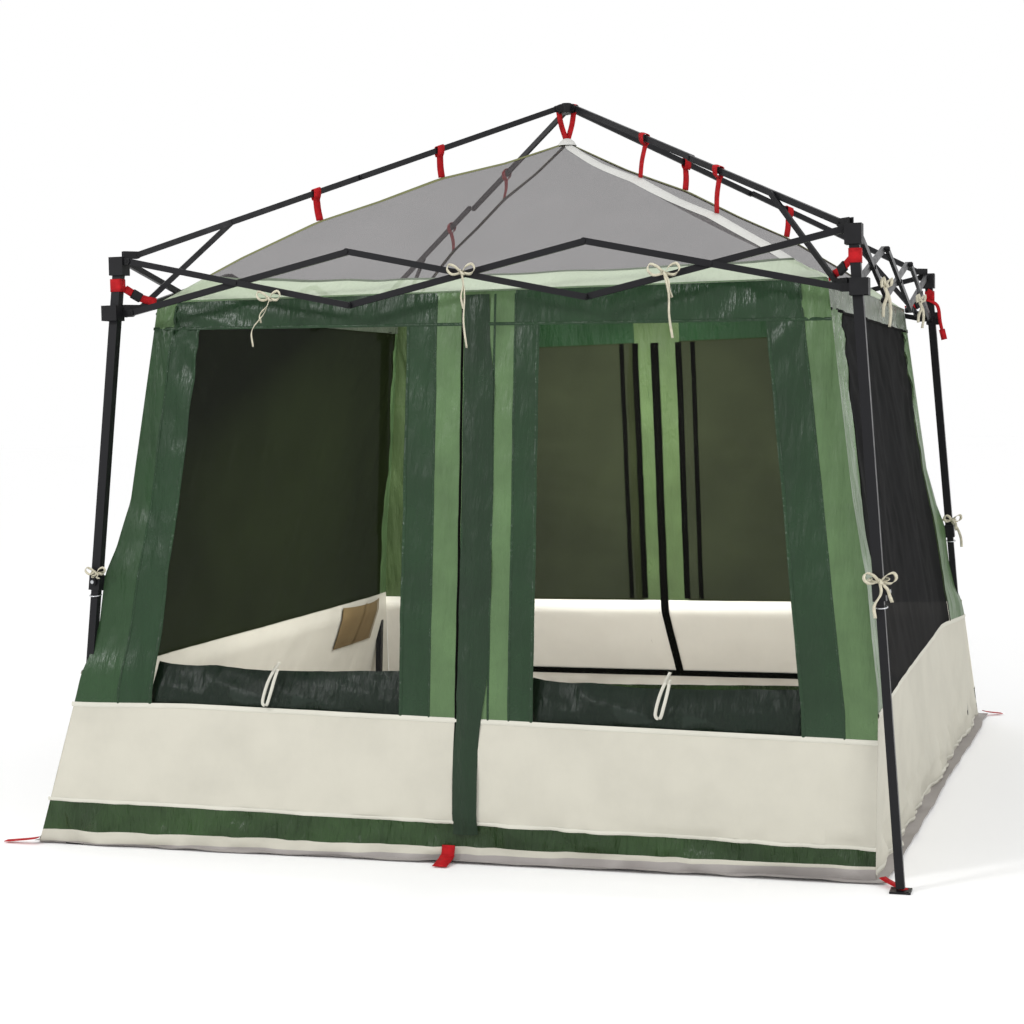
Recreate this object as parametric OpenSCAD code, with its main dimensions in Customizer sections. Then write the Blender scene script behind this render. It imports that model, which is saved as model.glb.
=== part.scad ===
/* [Frame] */
// Distance between neighbouring leg axes at the corner brackets, frame open
top_span = 2400; // [2300:10:2500]
// Height of the flat top of the corner brackets
bracket_top = 1925; // [1900:5:1950]
// Height of the roof pole pivots at the hub
hub_height = 2500; // [2460:5:2540]
// Height between the upper and lower pivots of the scissor bars, frame open
pivot_drop = 169; // [160:1:180]
// Outward lean of each leg along its diagonal in degrees, frame open
leg_lean = 5.84; // [5.5:0.02:6.2]

/* [Scissor bars] */
// Height of a bar's section
bar_h = 20; // [16:1:22]
// Thickness of a bar's section
bar_t = 12; // [10:1:13]
// Wall of the tubes that bars and poles are made of
tube_wall = 1.2; // [1:0.1:1.5]
// Radius of the pivot pins
pin_r = 4; // [3:0.5:5]

/* [Legs] */
// Width of the square outer leg tube
outer_w = 30; // [28:1:32]
// Width of the square inner leg tube
inner_w = 25; // [22:1:25]
// Height of the lower end of the outer tube above the ground
collar_z = 830; // [780:10:900]
// Width of the square foot plates
foot_w = 60; // [54:2:60]
// Radius of the peg hole in each foot plate
peg_hole_r = 5; // [4:0.5:6]

/* [Roof poles] */
// Pivot to pivot length of the lower half of each roof pole
pole_lower_len = 860; // [820:10:880]
// Thickness of the roof poles
pole_t = 10; // [8:1:10]
// Thickness of the struts that lift the roof poles
strut_t = 8; // [6:1:8]

/* [Fabric] */
// Half the width of the tent at the eaves
eave_half = 1110; // [1090:5:1115]
// Height of the eaves
eave_z = 1775; // [1760:5:1780]
// Half the width of the roof where the first pole straps lift its hips
shoulder_half = 705; // [680:5:730]
// Height of the roof's hips there
shoulder_z = 2030; // [2000:5:2050]
// Height of the tent's peak
peak_z = 2380; // [2340:5:2400]
// Height of the top edge of the lower band of the walls
band_z = 500; // [450:10:540]
// Thickness of the solids that stand for the cloth
cloth_t = 2; // [1.5:0.5:4]

/* [Hidden] */
$fn = 48;
half = top_span / 2;
clear = 0.3;
zpin = bracket_top - 30;
z_up = bracket_top - 15;
z_lo = z_up - pivot_drop;
pivot_out = 35;
cells = 3;
cell_w = (top_span - 2 * pivot_out) / cells;
bar_len = sqrt(cell_w * cell_w + pivot_drop * pivot_drop);
bar_tilt = atan2(pivot_drop, cell_w);
// Layer A of a side's bars is the outer one, layer B the inner one
lane = bar_t / 2 + 0.5;
cheek_t = 4;
pin_gap = pin_r + clear;
head_r = 7;
head_t = 3;

// Corner bracket
cap_w = 50;
cap_cavity = 37;
cap_h = 60;
cap_top = 6;
leg_pin_len = 56;
fork_r = 12;
lug_r = 60;
lug_z = bracket_top + 8;

// Slider
slider_h = 50;
hub_core_r = 31;
hub_cap_r = 18;
lean_out = tan(leg_lean) / sqrt(2);
slide_out = lean_out * (zpin - z_lo);
slide_fit = outer_w / 2 + 2.2;
slide_play = 14.5;
slider_wall = 3;
slider_in = slide_fit - slide_out;
slider_out = -slide_fit - slide_out - slide_play;
strut_r = 70;
strut_z = z_lo + 18;

// Roof poles, seen in the upright plane of their diagonal
half_diag = half * sqrt(2);
hub_r = 45;
pole_run = half_diag - lug_r - hub_r;
pole_rise = hub_height - lug_z;
pole_tilt = atan2(pole_rise, pole_run);
pole_len = sqrt(pole_run * pole_run + pole_rise * pole_rise);
pole_upper_len = pole_len - pole_lower_len;
pole_gap = 0.8;
strut_lane = -(pole_t / 2 + pole_gap + strut_t / 2);
upper_lane_near = pole_t + pole_gap;
upper_lane_far = -(pole_t + 2 * pole_gap + strut_t);
// Side of the lower pole that each corner's upper pole lies on
upper_lane = [upper_lane_near, upper_lane_near, upper_lane_near, upper_lane_far];

// Where the strut meets the lower pole: at the same distance open and folded
folded_bar_tilt = 85;
folded_pole_tilt = -87.5;
slider_travel = bar_len * sin(folded_bar_tilt) - pivot_drop;
open_dir = [cos(pole_tilt), sin(pole_tilt)];
fold_dir = [cos(folded_pole_tilt), sin(folded_pole_tilt)];
open_foot = [strut_r - lug_r, strut_z - lug_z];
fold_foot = open_foot - [0, slider_travel];
strut_at = (open_foot * open_foot - fold_foot * fold_foot)
    / (2 * (open_dir * open_foot - fold_dir * fold_foot));
strut_vec = strut_at * open_dir - open_foot;
strut_len = norm(strut_vec);
strut_tilt = atan2(strut_vec[1], strut_vec[0]);

// Legs
collar_h = 46;
collar_w = outer_w + 8;
inner_top = collar_z + 150;
outer_wall = 2;
inner_wall = 1.5;
boss_r = 11;
boss_depth = 11;
peg_inset = 9;
foot_t = 6;
foot_out = lean_out * zpin;
button_z = collar_z + collar_h / 2;
button_r = 5.8;
button_travel = 4;
boss_out = collar_w / 2 + 9;

// Corner points of the tent's lower band, front left first, going round
band_top = [[-1345, -1345], [1268, -1268], [1345, 1345], [-1345, 1345]];
band_base = [[-1485, -1395], [1300, -1290], [1405, 1780], [-1480, 1780]];
band_foot_z = 2;
wall_foot_half = 1265;
sheet_t = 1;
notch_w = foot_w + 20;

// The first corner's own frame: x runs along the side that starts there, y runs inwards
module at_corner(k) {
    rotate([0, 0, 90 * k]) translate([-half, -half, 0]) children();
}

// The upright plane of a corner's diagonal: x runs inwards, y across it
module on_diagonal(k) {
    at_corner(k) rotate([0, 0, 45]) children();
}

// Turns a leg and its fittings outwards about the pin in the bracket
module leaned() {
    translate([0, 0, zpin]) rotate(a = -leg_lean, v = [1, -1, 0]) translate([0, 0, -zpin])
        children();
}

module box_at(lo, hi) {
    translate(lo) cube(hi - lo);
}

module across_y(r, y0, y1) {
    translate([0, y1, 0]) rotate([90, 0, 0]) cylinder(r = r, h = y1 - y0);
}

// A flat tube with round solid ends, from pivot to pivot along x, centred on y
module flat_tube(len, h, t) {
    difference() {
        union() {
            box_at([0, -t / 2, -h / 2], [len, t / 2, h / 2]);
            across_y(h / 2, -t / 2, t / 2);
            translate([len, 0, 0]) across_y(h / 2, -t / 2, t / 2);
        }
        box_at([h / 2 + 2, tube_wall - t / 2, tube_wall - h / 2],
            [len - h / 2 - 2, t / 2 - tube_wall, h / 2 - tube_wall]);
    }
}

// A pin through both layers, fixed in layer B, with a head on each side
module layer_pin() {
    across_y(pin_r, -lane - bar_t / 2 - clear - 0.1, lane);
    across_y(head_r, -lane - bar_t / 2 - clear - head_t, -lane - bar_t / 2 - clear);
    across_y(head_r, lane + bar_t / 2 - 0.5, lane + bar_t / 2 + head_t - 0.5);
}

// Scissor bar i, 1 to 6 and two to a cell, of the side that starts at corner k. The bars that fall
// away from their start lie in the outer lane and are drilled, the rising ones carry the pins
module scissor_bar(k, i) {
    start_cell = [0, 0, 1, 1, 2, 2][i - 1];
    falls = [true, false, false, true, true, false][i - 1];
    outer = falls;
    start_z = falls ? z_up : z_lo;
    tilt = falls ? bar_tilt : -bar_tilt;
    y = outer ? -lane : lane;
    fork_at_start = i <= 2;
    fork_at_end = i >= 5;
    color([0.09, 0.09, 0.1]) at_corner(k)
        translate([pivot_out + start_cell * cell_w, 0, start_z]) rotate([0, tilt, 0]) {
            difference() {
                translate([0, y, 0]) flat_tube(bar_len, bar_h, bar_t);
                for (f = outer ? [0, 0.5, 1] : [fork_at_start ? 0 : 2, fork_at_end ? 1 : 2])
                    translate([f * bar_len, 0, 0]) across_y(pin_gap, -30, 30);
            }
            if (!outer) {
                translate([bar_len / 2, 0, 0]) layer_pin();
                if (!fork_at_start) layer_pin();
                if (!fork_at_end) translate([bar_len, 0, 0]) layer_pin();
            }
        }
}

// Two cheeks and a pin that hold a bar end. x is outwards, the slot is slot_t wide at y
module fork(reach, y, slot_t, r, root) {
    for (s = [-1, 1]) {
        y0 = y + s * (slot_t / 2 + clear + cheek_t / 2) - cheek_t / 2;
        box_at([root, y0, -r], [reach, y0 + cheek_t, r]);
        translate([reach, 0, 0]) across_y(r, y0, y0 + cheek_t);
    }
    translate([reach, 0, 0])
        across_y(pin_r, y - slot_t / 2 - clear - cheek_t - 2, y + slot_t / 2 + clear + cheek_t + 2);
}

module corner_bracket(k) {
    color([0.11, 0.11, 0.12]) at_corner(k) {
        difference() {
            box_at([-cap_w / 2, -cap_w / 2, bracket_top - cap_h], [cap_w / 2, cap_w / 2, bracket_top]);
            box_at([-cap_cavity / 2, -cap_cavity / 2, bracket_top - cap_h - 1],
                [cap_cavity / 2, cap_cavity / 2, bracket_top - cap_top]);
        }
        translate([0, 0, zpin]) rotate([0, 0, -45]) rotate([0, 90, 0])
            cylinder(r = pin_r, h = leg_pin_len, center = true);
        translate([0, 0, z_up]) {
            fork(pivot_out, -lane, bar_t, fork_r, cap_w / 2 - 1);
            mirror([1, -1, 0]) fork(pivot_out, lane, bar_t, fork_r, cap_w / 2 - 1);
        }
        translate([0, 0, lug_z]) rotate([0, 0, 45]) fork(lug_r, 0, pole_t, fork_r, fork_r);
    }
}

module leg_slider(k) {
    color([0.11, 0.11, 0.12]) at_corner(k) translate([0, 0, z_lo]) {
        difference() {
            box_at([slider_out - slider_wall, slider_out - slider_wall, -slider_h / 2],
                [slider_in + slider_wall, slider_in + slider_wall, slider_h / 2]);
            box_at([slider_out, slider_out, -slider_h], [slider_in, slider_in, slider_h]);
        }
        fork(pivot_out, lane, bar_t, fork_r, slider_in + 1);
        mirror([1, -1, 0]) fork(pivot_out, -lane, bar_t, fork_r, slider_in + 1);
        translate([0, 0, strut_z - z_lo]) rotate([0, 0, 45])
            fork(strut_r, -strut_lane, strut_t, fork_r - 1, slider_in * sqrt(2) + 2);
    }
}

module leg_outer(k) {
    color([0.09, 0.09, 0.1]) at_corner(k) leaned() {
        difference() {
            union() {
                box_at([-outer_w / 2, -outer_w / 2, collar_z], [outer_w / 2, outer_w / 2, zpin + 14]);
                box_at([-collar_w / 2, -collar_w / 2, collar_z - 4],
                    [collar_w / 2, collar_w / 2, collar_z + collar_h]);
                translate([0, 0, button_z]) across_y(boss_r, -boss_out, -collar_w / 2 + 1);
            }
            box_at([-outer_w / 2 + outer_wall, -outer_w / 2 + outer_wall, collar_z - 10],
                [outer_w / 2 - outer_wall, outer_w / 2 - outer_wall, zpin + 20]);
            translate([0, 0, zpin]) rotate([0, 0, -45]) rotate([0, 90, 0])
                cylinder(r = pin_gap, h = 60, center = true);
            translate([0, 0, button_z]) across_y(button_r + 0.2, -boss_out - 1, -boss_out + boss_depth);
        }
    }
}

module leg_button(k) {
    color([0.75, 0.76, 0.78]) at_corner(k) leaned()
        translate([0, 0, button_z]) across_y(button_r, -boss_out - 5, -boss_out + boss_depth - button_travel - 0.5);
}

module leg_inner(k) {
    color([0.09, 0.09, 0.1]) at_corner(k) {
        leaned() difference() {
            box_at([-inner_w / 2, -inner_w / 2, 0], [inner_w / 2, inner_w / 2, inner_top]);
            box_at([-inner_w / 2 + inner_wall, -inner_w / 2 + inner_wall, 2 * foot_t],
                [inner_w / 2 - inner_wall, inner_w / 2 - inner_wall, inner_top + 1]);
        }
        translate([-foot_out, -foot_out, 0]) difference() {
            box_at([-foot_w / 2, -foot_w / 2, 0], [foot_w / 2, foot_w / 2, foot_t]);
            translate([peg_inset - foot_w / 2, peg_inset - foot_w / 2, -1]) cylinder(r = peg_hole_r, h = foot_t + 2);
        }
    }
}

// Lower half of a roof pole. Only the first corner's knuckle pin goes through both halves
module pole_lower(k) {
    through = k == 0;
    side = upper_lane[k] > 0 ? 1 : -1;
    far = abs(upper_lane[k]) + pole_t / 2 + clear;
    color([0.09, 0.09, 0.1]) on_diagonal(k) translate([lug_r, 0, lug_z]) rotate([0, -pole_tilt, 0]) {
        difference() {
            flat_tube(pole_lower_len, bar_h, pole_t);
            across_y(pin_gap, -20, 20);
        }
        translate([pole_lower_len, 0, 0]) mirror([0, side > 0 ? 1 : 0, 0]) {
            across_y(head_r, -pole_t / 2 - head_t, -pole_t / 2 + 1);
            if (through) {
                across_y(pin_r, 0, far + 1);
                across_y(head_r, far, far + head_t);
            }
        }
        translate([strut_at, 0, 0]) across_y(head_r, -pole_t / 2 - head_t, -pole_t / 2 + 1);
    }
}

module pole_upper(k) {
    color([0.09, 0.09, 0.1]) on_diagonal(k) translate([lug_r, 0, lug_z]) rotate([0, -pole_tilt, 0])
        translate([pole_lower_len, -upper_lane[k], 0]) difference() {
            flat_tube(pole_upper_len, bar_h, pole_t);
            for (x = [0, pole_upper_len]) translate([x, 0, 0]) across_y(pin_gap, -20, 20);
        }
}

module pole_strut(k) {
    color([0.09, 0.09, 0.1]) on_diagonal(k) translate([strut_r, -strut_lane, strut_z])
        rotate([0, -strut_tilt, 0]) difference() {
            flat_tube(strut_len, bar_h - 2, strut_t);
            across_y(pin_gap, -20, 20);
        }
}

module roof_hub() {
    color([0.11, 0.11, 0.12]) translate([0, 0, hub_height]) {
        translate([0, 0, -14]) cylinder(r = hub_core_r, h = 32);
        translate([0, 0, 18]) cylinder(r = hub_cap_r, h = 5);
        for (k = [0:3]) rotate([0, 0, 90 * k + 225]) fork(hub_r, upper_lane[k], pole_t, fork_r, 8);
    }
}

function ring(points, z, inset) = [for (p = points) [p[0] - inset * sign(p[0]), p[1] - inset * sign(p[1]), z]];
function square_ring(h) = [[-h, -h], [h, -h], [h, h], [-h, h]];

// A closed form between two four-cornered outlines, with triangles on its bent sides
module four_sided(low, high) {
    sides = [for (i = [0:3]) each [[i, i + 4, (i + 1) % 4], [(i + 1) % 4, i + 4, (i + 1) % 4 + 4]]];
    polyhedron(points = concat(low, high), faces = concat(sides, [[0, 1, 2, 3], [7, 6, 5, 4]]));
}

// A ring of cloth between two outlines
module cloth_ring(base, z0, top, z1) {
    difference() {
        four_sided(ring(base, z0, 0), ring(top, z1, 0));
        four_sided(ring(base, z0 - 0.5, cloth_t), ring(top, z1 + 0.5, cloth_t));
    }
}

module wall_cover() {
    color([0.23, 0.36, 0.24]) {
        cloth_ring(square_ring(wall_foot_half), band_z, square_ring(eave_half), eave_z);
        cloth_ring(band_base, band_foot_z, band_top, band_z + 6);
    }
}

// A four-sided roof that is steeper below its shoulder, set in and down by the cloth's thickness
module roof_form(z, inset) {
    low = ring(square_ring(eave_half), z, 2 * inset);
    shoulder = ring(square_ring(shoulder_half), shoulder_z - inset, 2 * inset);
    steep = [for (i = [0:3]) [i, i + 4, (i + 1) % 4 + 4, (i + 1) % 4]];
    gentle = [for (i = [0:3]) [i + 4, 8, (i + 1) % 4 + 4]];
    polyhedron(points = concat(low, shoulder, [[0, 0, peak_z - inset]]),
        faces = concat([[0, 1, 2, 3]], steep, gentle));
}

module roof_cover() {
    color([0.45, 0.45, 0.45]) difference() {
        roof_form(eave_z + 1, 0);
        roof_form(eave_z, cloth_t);
    }
}

module ground_sheet() {
    color([0.5, 0.49, 0.47]) difference() {
        linear_extrude(height = sheet_t) polygon(band_base);
        for (k = [0:3]) at_corner(k)
            box_at([-foot_out - notch_w / 2, -foot_out - notch_w / 2, -1],
                [notch_w / 2 - foot_out, notch_w / 2 - foot_out, sheet_t + 1]);
    }
}

corner_bracket(0);  // bracket_fl
corner_bracket(1);  // bracket_fr
corner_bracket(2);  // bracket_br
corner_bracket(3);  // bracket_bl
leg_outer(0);  // leg_outer_fl
leg_outer(1);  // leg_outer_fr
leg_outer(2);  // leg_outer_br
leg_outer(3);  // leg_outer_bl
leg_inner(0);  // leg_inner_fl
leg_inner(1);  // leg_inner_fr
leg_inner(2);  // leg_inner_br
leg_inner(3);  // leg_inner_bl
leg_button(0);  // leg_button_fl
leg_button(1);  // leg_button_fr
leg_button(2);  // leg_button_br
leg_button(3);  // leg_button_bl
leg_slider(0);  // slider_fl
leg_slider(1);  // slider_fr
leg_slider(2);  // slider_br
leg_slider(3);  // slider_bl
scissor_bar(0, 1);  // bar_front_1
scissor_bar(0, 2);  // bar_front_2
scissor_bar(0, 3);  // bar_front_3
scissor_bar(0, 4);  // bar_front_4
scissor_bar(0, 5);  // bar_front_5
scissor_bar(0, 6);  // bar_front_6
scissor_bar(1, 1);  // bar_right_1
scissor_bar(1, 2);  // bar_right_2
scissor_bar(1, 3);  // bar_right_3
scissor_bar(1, 4);  // bar_right_4
scissor_bar(1, 5);  // bar_right_5
scissor_bar(1, 6);  // bar_right_6
scissor_bar(2, 1);  // bar_back_1
scissor_bar(2, 2);  // bar_back_2
scissor_bar(2, 3);  // bar_back_3
scissor_bar(2, 4);  // bar_back_4
scissor_bar(2, 5);  // bar_back_5
scissor_bar(2, 6);  // bar_back_6
scissor_bar(3, 1);  // bar_left_1
scissor_bar(3, 2);  // bar_left_2
scissor_bar(3, 3);  // bar_left_3
scissor_bar(3, 4);  // bar_left_4
scissor_bar(3, 5);  // bar_left_5
scissor_bar(3, 6);  // bar_left_6
pole_lower(0);  // pole_lower_fl
pole_lower(1);  // pole_lower_fr
pole_lower(2);  // pole_lower_br
pole_lower(3);  // pole_lower_bl
pole_upper(0);  // pole_upper_fl
pole_upper(1);  // pole_upper_fr
pole_upper(2);  // pole_upper_br
pole_upper(3);  // pole_upper_bl
pole_strut(0);  // strut_fl
pole_strut(1);  // strut_fr
pole_strut(2);  // strut_br
pole_strut(3);  // strut_bl
roof_hub();
roof_cover();
wall_cover();
ground_sheet();
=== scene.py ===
"""Looks of the pop up gazebo: its cloth cover, straps, ties and metal finishes, over the CAD frame."""

import math

import bmesh
import bpy
import numpy as np
from mathutils import Matrix, Vector


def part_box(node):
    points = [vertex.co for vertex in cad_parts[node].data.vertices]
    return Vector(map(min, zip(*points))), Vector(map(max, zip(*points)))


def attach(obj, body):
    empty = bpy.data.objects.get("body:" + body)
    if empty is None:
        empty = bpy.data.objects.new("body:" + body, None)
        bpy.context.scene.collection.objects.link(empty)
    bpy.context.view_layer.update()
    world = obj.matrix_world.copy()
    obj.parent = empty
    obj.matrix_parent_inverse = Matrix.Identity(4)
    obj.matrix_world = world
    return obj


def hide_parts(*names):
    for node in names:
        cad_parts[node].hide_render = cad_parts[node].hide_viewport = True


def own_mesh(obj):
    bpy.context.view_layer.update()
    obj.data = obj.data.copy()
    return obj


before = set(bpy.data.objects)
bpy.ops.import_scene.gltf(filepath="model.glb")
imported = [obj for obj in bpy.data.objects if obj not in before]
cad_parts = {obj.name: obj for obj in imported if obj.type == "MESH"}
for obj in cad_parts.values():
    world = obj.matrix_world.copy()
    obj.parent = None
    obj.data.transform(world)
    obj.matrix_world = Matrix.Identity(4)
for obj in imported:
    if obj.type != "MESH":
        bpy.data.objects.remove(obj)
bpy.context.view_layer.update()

# ---------------------------------------------------------------- camera
CAMERA_AT = Vector((1.8991, -6.7223, 1.4186))
CAMERA_YAW, CAMERA_PITCH, CAMERA_ROLL = -0.3080, -0.0575, -0.0181
CAMERA_LENS = 65.78


def make_camera():
    """A camera at the photograph's place: turned a little to its left, looking slightly down."""
    ahead = Vector((
        math.sin(CAMERA_YAW) * math.cos(CAMERA_PITCH),
        math.cos(CAMERA_YAW) * math.cos(CAMERA_PITCH),
        math.sin(CAMERA_PITCH),
    ))
    level = Vector((math.cos(CAMERA_YAW), -math.sin(CAMERA_YAW), 0))
    above = level.cross(ahead)
    right = math.cos(CAMERA_ROLL) * level + math.sin(CAMERA_ROLL) * above
    up = math.cos(CAMERA_ROLL) * above - math.sin(CAMERA_ROLL) * level
    data = bpy.data.cameras.new("camera")
    data.lens = CAMERA_LENS
    data.clip_end = 100
    camera = bpy.data.objects.new("camera", data)
    turn = Matrix((right, up, -ahead)).transposed()
    camera.matrix_world = Matrix.Translation(CAMERA_AT) @ turn.to_4x4()
    bpy.context.scene.collection.objects.link(camera)
    bpy.context.scene.camera = camera


make_camera()

# ---------------------------------------------------------------- sizes
CORNERS = ("fl", "fr", "br", "bl")
SIDES = ("front", "right", "back", "left")
SIGNS = ((-1, -1), (1, -1), (1, 1), (-1, 1))

WALL_LOW, WALL_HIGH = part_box("wall_cover")
ROOF_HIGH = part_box("roof_cover")[1]
HUB_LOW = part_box("roof_hub")[0]
EAVE_Z = WALL_HIGH.z
EAVE_HALF = ROOF_HIGH.x
APEX_Z = ROOF_HIGH.z
HALF = 1.2  # from the centre to each leg's hinge
WAIST_Z = 0.5  # where the upper walls meet the lower band
WAIST_HALF = 1.265
WALL_SLOPE = (WAIST_HALF - EAVE_HALF) / (EAVE_Z - WAIST_Z)
FLARE_Z = (0.50, 0.56, 0.63, 0.72, 0.88, 0.97, 1.12)  # a corner swells out round its leg and its tie
FLARE_SHARE = (1.0, 0.84, 0.54, 0.37, 0.33, 0.15, 0.0)  # share of the way to the waist's corner at each
FLARE_REACH = 0.42  # how far along a side that swelling reaches
SKIRT_IN = (0.022, 0.045, 0.045, 0.045)  # how far inside the ground sheet's corners the walls meet it

# corners of the ground sheet, and of the band at the waist, from the front left round
BASE = ((WALL_LOW.x, WALL_LOW.y), (1.300, -1.290), (WALL_HIGH.x, WALL_HIGH.y), (-1.480, 1.780))
WAIST = ((-1.322, -1.345), (1.268, -1.268), (1.330, 1.330), (-1.270, 1.300))

STEP = 0.022  # spacing of the cloth's grid


# ---------------------------------------------------------------- small maths
LATTICE = np.random.default_rng(11).random((64, 64)) * 2 - 1


def smooth(x):
    x = np.clip(x, 0, 1)
    return x * x * (3 - 2 * x)


def noise(x, y, seed=0):
    """Smooth noise from -1 to 1, one bump to a unit."""
    x, y = np.asarray(x, float) + seed * 17.3, np.asarray(y, float) + seed * 9.7
    i, j = np.floor(x).astype(int), np.floor(y).astype(int)
    fx, fy = smooth(x - i), smooth(y - j)
    corner = [[LATTICE[(i + a) % 64, (j + b) % 64] for b in (0, 1)] for a in (0, 1)]
    low = corner[0][0] * (1 - fx) + corner[1][0] * fx
    high = corner[0][1] * (1 - fx) + corner[1][1] * fx
    return low * (1 - fy) + high * fy


def turned(k, x, y):
    """(x, y) turned k quarter turns, from side k's own frame to the row frame."""
    c, s = ((1, 0), (0, 1), (-1, 0), (0, -1))[k % 4]
    return c * x - s * y, s * x + c * y


# ---------------------------------------------------------------- the walls' surface
def wall_half(z):
    """Half the cover's width at a height, above the waist."""
    return EAVE_HALF + (EAVE_Z - np.maximum(z, WAIST_Z)) * WALL_SLOPE


def corner_at(k, z):
    """Where corner k of the walls is at height z, in side k's and side k-1's shared row frame."""
    z = np.asarray(z, float)
    sx, sy = SIGNS[k % 4]
    half = wall_half(z)
    flare = np.interp(z, FLARE_Z, FLARE_SHARE)
    low = np.clip(z / WAIST_Z, 0, 1)
    out = []
    for axis, sign in ((0, sx), (1, sy)):
        upper = sign * half * (1 - flare) + WAIST[k % 4][axis] * flare
        base = BASE[k % 4][axis] - sign * SKIRT_IN[k % 4]
        out.append(np.where(z >= WAIST_Z, upper, base * (1 - low) + WAIST[k % 4][axis] * low))
    return out


def side_corners(k, z):
    """Both ends of side k at height z in its own frame: (s, out) at each."""
    ax, ay = turned(-k, *corner_at(k, z))
    bx, by = turned(-k, *corner_at(k + 1, z))
    return (ax, -ay), (bx, -by)


def wall_out(k, s, z):
    """How far side k's cloth is from the centre plane, s along it from its middle and z up."""
    upper_z = np.maximum(z, WAIST_Z)
    (sa, oa), (sb, ob) = side_corners(k, upper_z)
    half = wall_half(upper_z)
    near_a, near_b = smooth(1 - (s - sa) / FLARE_REACH), smooth(1 - (sb - s) / FLARE_REACH)
    upper = half + (oa - half) * near_a + (ob - half) * near_b
    (ga, pa), (gb, pb) = side_corners(k, np.zeros_like(upper_z))
    ground = pa + (pb - pa) * (s - ga) / (gb - ga)
    low = np.clip(z / WAIST_Z, 0, 1)
    return ground * (1 - low) + upper * low


def ripple(k, s, z):
    """How far the cloth stands off its smooth surface: folds, pulls from the top corners, a crumpled hem."""
    wave = 0.0075 * noise(s * 2.3, z * 1.1, k) + 0.0035 * noise(s * 7.0 + z * 1.4, z * 2.2, k + 5)
    crease = 0.0034 * noise(s * 19 + z * 9, z * 7, k + 9) + 0.0022 * noise(s * 9 - z * 5, z * 21, k + 13)
    pull = 0
    for sign in (-1, 1):
        across, down = (s - sign * EAVE_HALF) * -sign, EAVE_Z - z
        reach = np.hypot(across, down)
        angle = np.arctan2(down, across + 0.02)
        fan = np.sin(angle * 23 + 2.5 * noise(reach * 4, angle * 3, k + 20))
        pull = pull + 0.009 * fan * np.exp(-reach / 0.42) * smooth(reach / 0.12)
    skirt = smooth((0.17 - z) / 0.06)
    crumple = 0.013 * noise(s * 9, z * 14, k + 31) + 0.010 * noise(s * 21, z * 29, k + 37)
    (sa, _), (sb, _) = side_corners(k, z)
    edge = smooth(np.minimum(s - sa, sb - s) / 0.05) * smooth((EAVE_Z - z) / 0.04)
    taut = 0.45 + 0.55 * smooth((z - WAIST_Z) / 0.2)
    return ((wave + crease) * taut + pull + crumple * skirt) * edge


def wall_point(k, s, z, lift=0.0):
    """The point of side k's cloth at (s, z), lifted off it, in the row frame."""
    s, z = np.asarray(s, float), np.asarray(z, float)
    out = wall_out(k, s, z) + ripple(k, s, z) + lift
    x, y = turned(k, s, -out)
    return np.stack([x, y, np.maximum(z, 0.003) + 0 * x], -1)


# ---------------------------------------------------------------- the roof's surface
HIP_START = (HALF - EAVE_HALF) * math.sqrt(2)  # along the diagonal from the leg's hinge
HIP_END = HALF * math.sqrt(2)
STRAP_R = (0.70, 1.17)  # where the pole straps hold the hips
HIP_R = (HIP_START, 0.42, STRAP_R[0], 0.93, STRAP_R[1], 1.44, HIP_END)
HIP_RISE = (0.0, 0.155, 0.285, 0.362, 0.452, 0.520, APEX_Z - EAVE_Z)
HIP_DROOP = (0.0, 0.045, 0.008, 0.0)  # how much lower each corner's hip hangs at its middle


def hip_t(r):
    """How far up the roof, from 0 to 1, the point of a hip is that lies r in from the leg's hinge."""
    return (r - HIP_START) / (HIP_END - HIP_START)


def hip_z(k, t):
    """Height of corner k's hip, t from 0 at the eave to 1 at the apex."""
    rise = np.interp(HIP_START + t * (HIP_END - HIP_START), HIP_R, HIP_RISE)
    return EAVE_Z + rise - HIP_DROOP[k % 4] * np.sin(np.pi * np.clip(t, 0, 1)) ** 0.8


def roof_point(k, t, v, lift=0.0):
    """The point of gore k: t up from the eave, v from -1 at corner k to 1 at the next."""
    t, v = np.asarray(t, float), np.asarray(v, float)
    out = EAVE_HALF * (1 - t)
    middle = EAVE_Z + (APEX_Z - EAVE_Z) * t - 0.028 * np.sin(np.pi * t)
    hip = np.where(v < 0, hip_z(k, t), hip_z(k + 1, t))
    z = middle + (hip - middle) * np.abs(v) ** 2.4
    inner = smooth((1 - np.abs(v)) / 0.15) * smooth(t / 0.06) * smooth((1 - t) / 0.1)
    wave = 0.006 * noise(v * 5 * (1 - t), t * 6, k + 41)
    fan = 0.004 * np.sin(v * 21 + 3 * noise(v * 2, t * 3, k + 44)) * np.exp(-t / 0.16)
    x, y = turned(k, v * out, -out)
    return np.stack([x, y, z + (wave + fan) * inner + lift + 0 * x], -1)


# ---------------------------------------------------------------- materials
def rgb(r, g, b):
    """A screen colour of 0 to 255 as linear light."""
    return tuple(c / 3294.6 if c < 10.3 else ((c / 255 + 0.055) / 1.055) ** 2.4 for c in (r, g, b)) + (1,)


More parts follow.
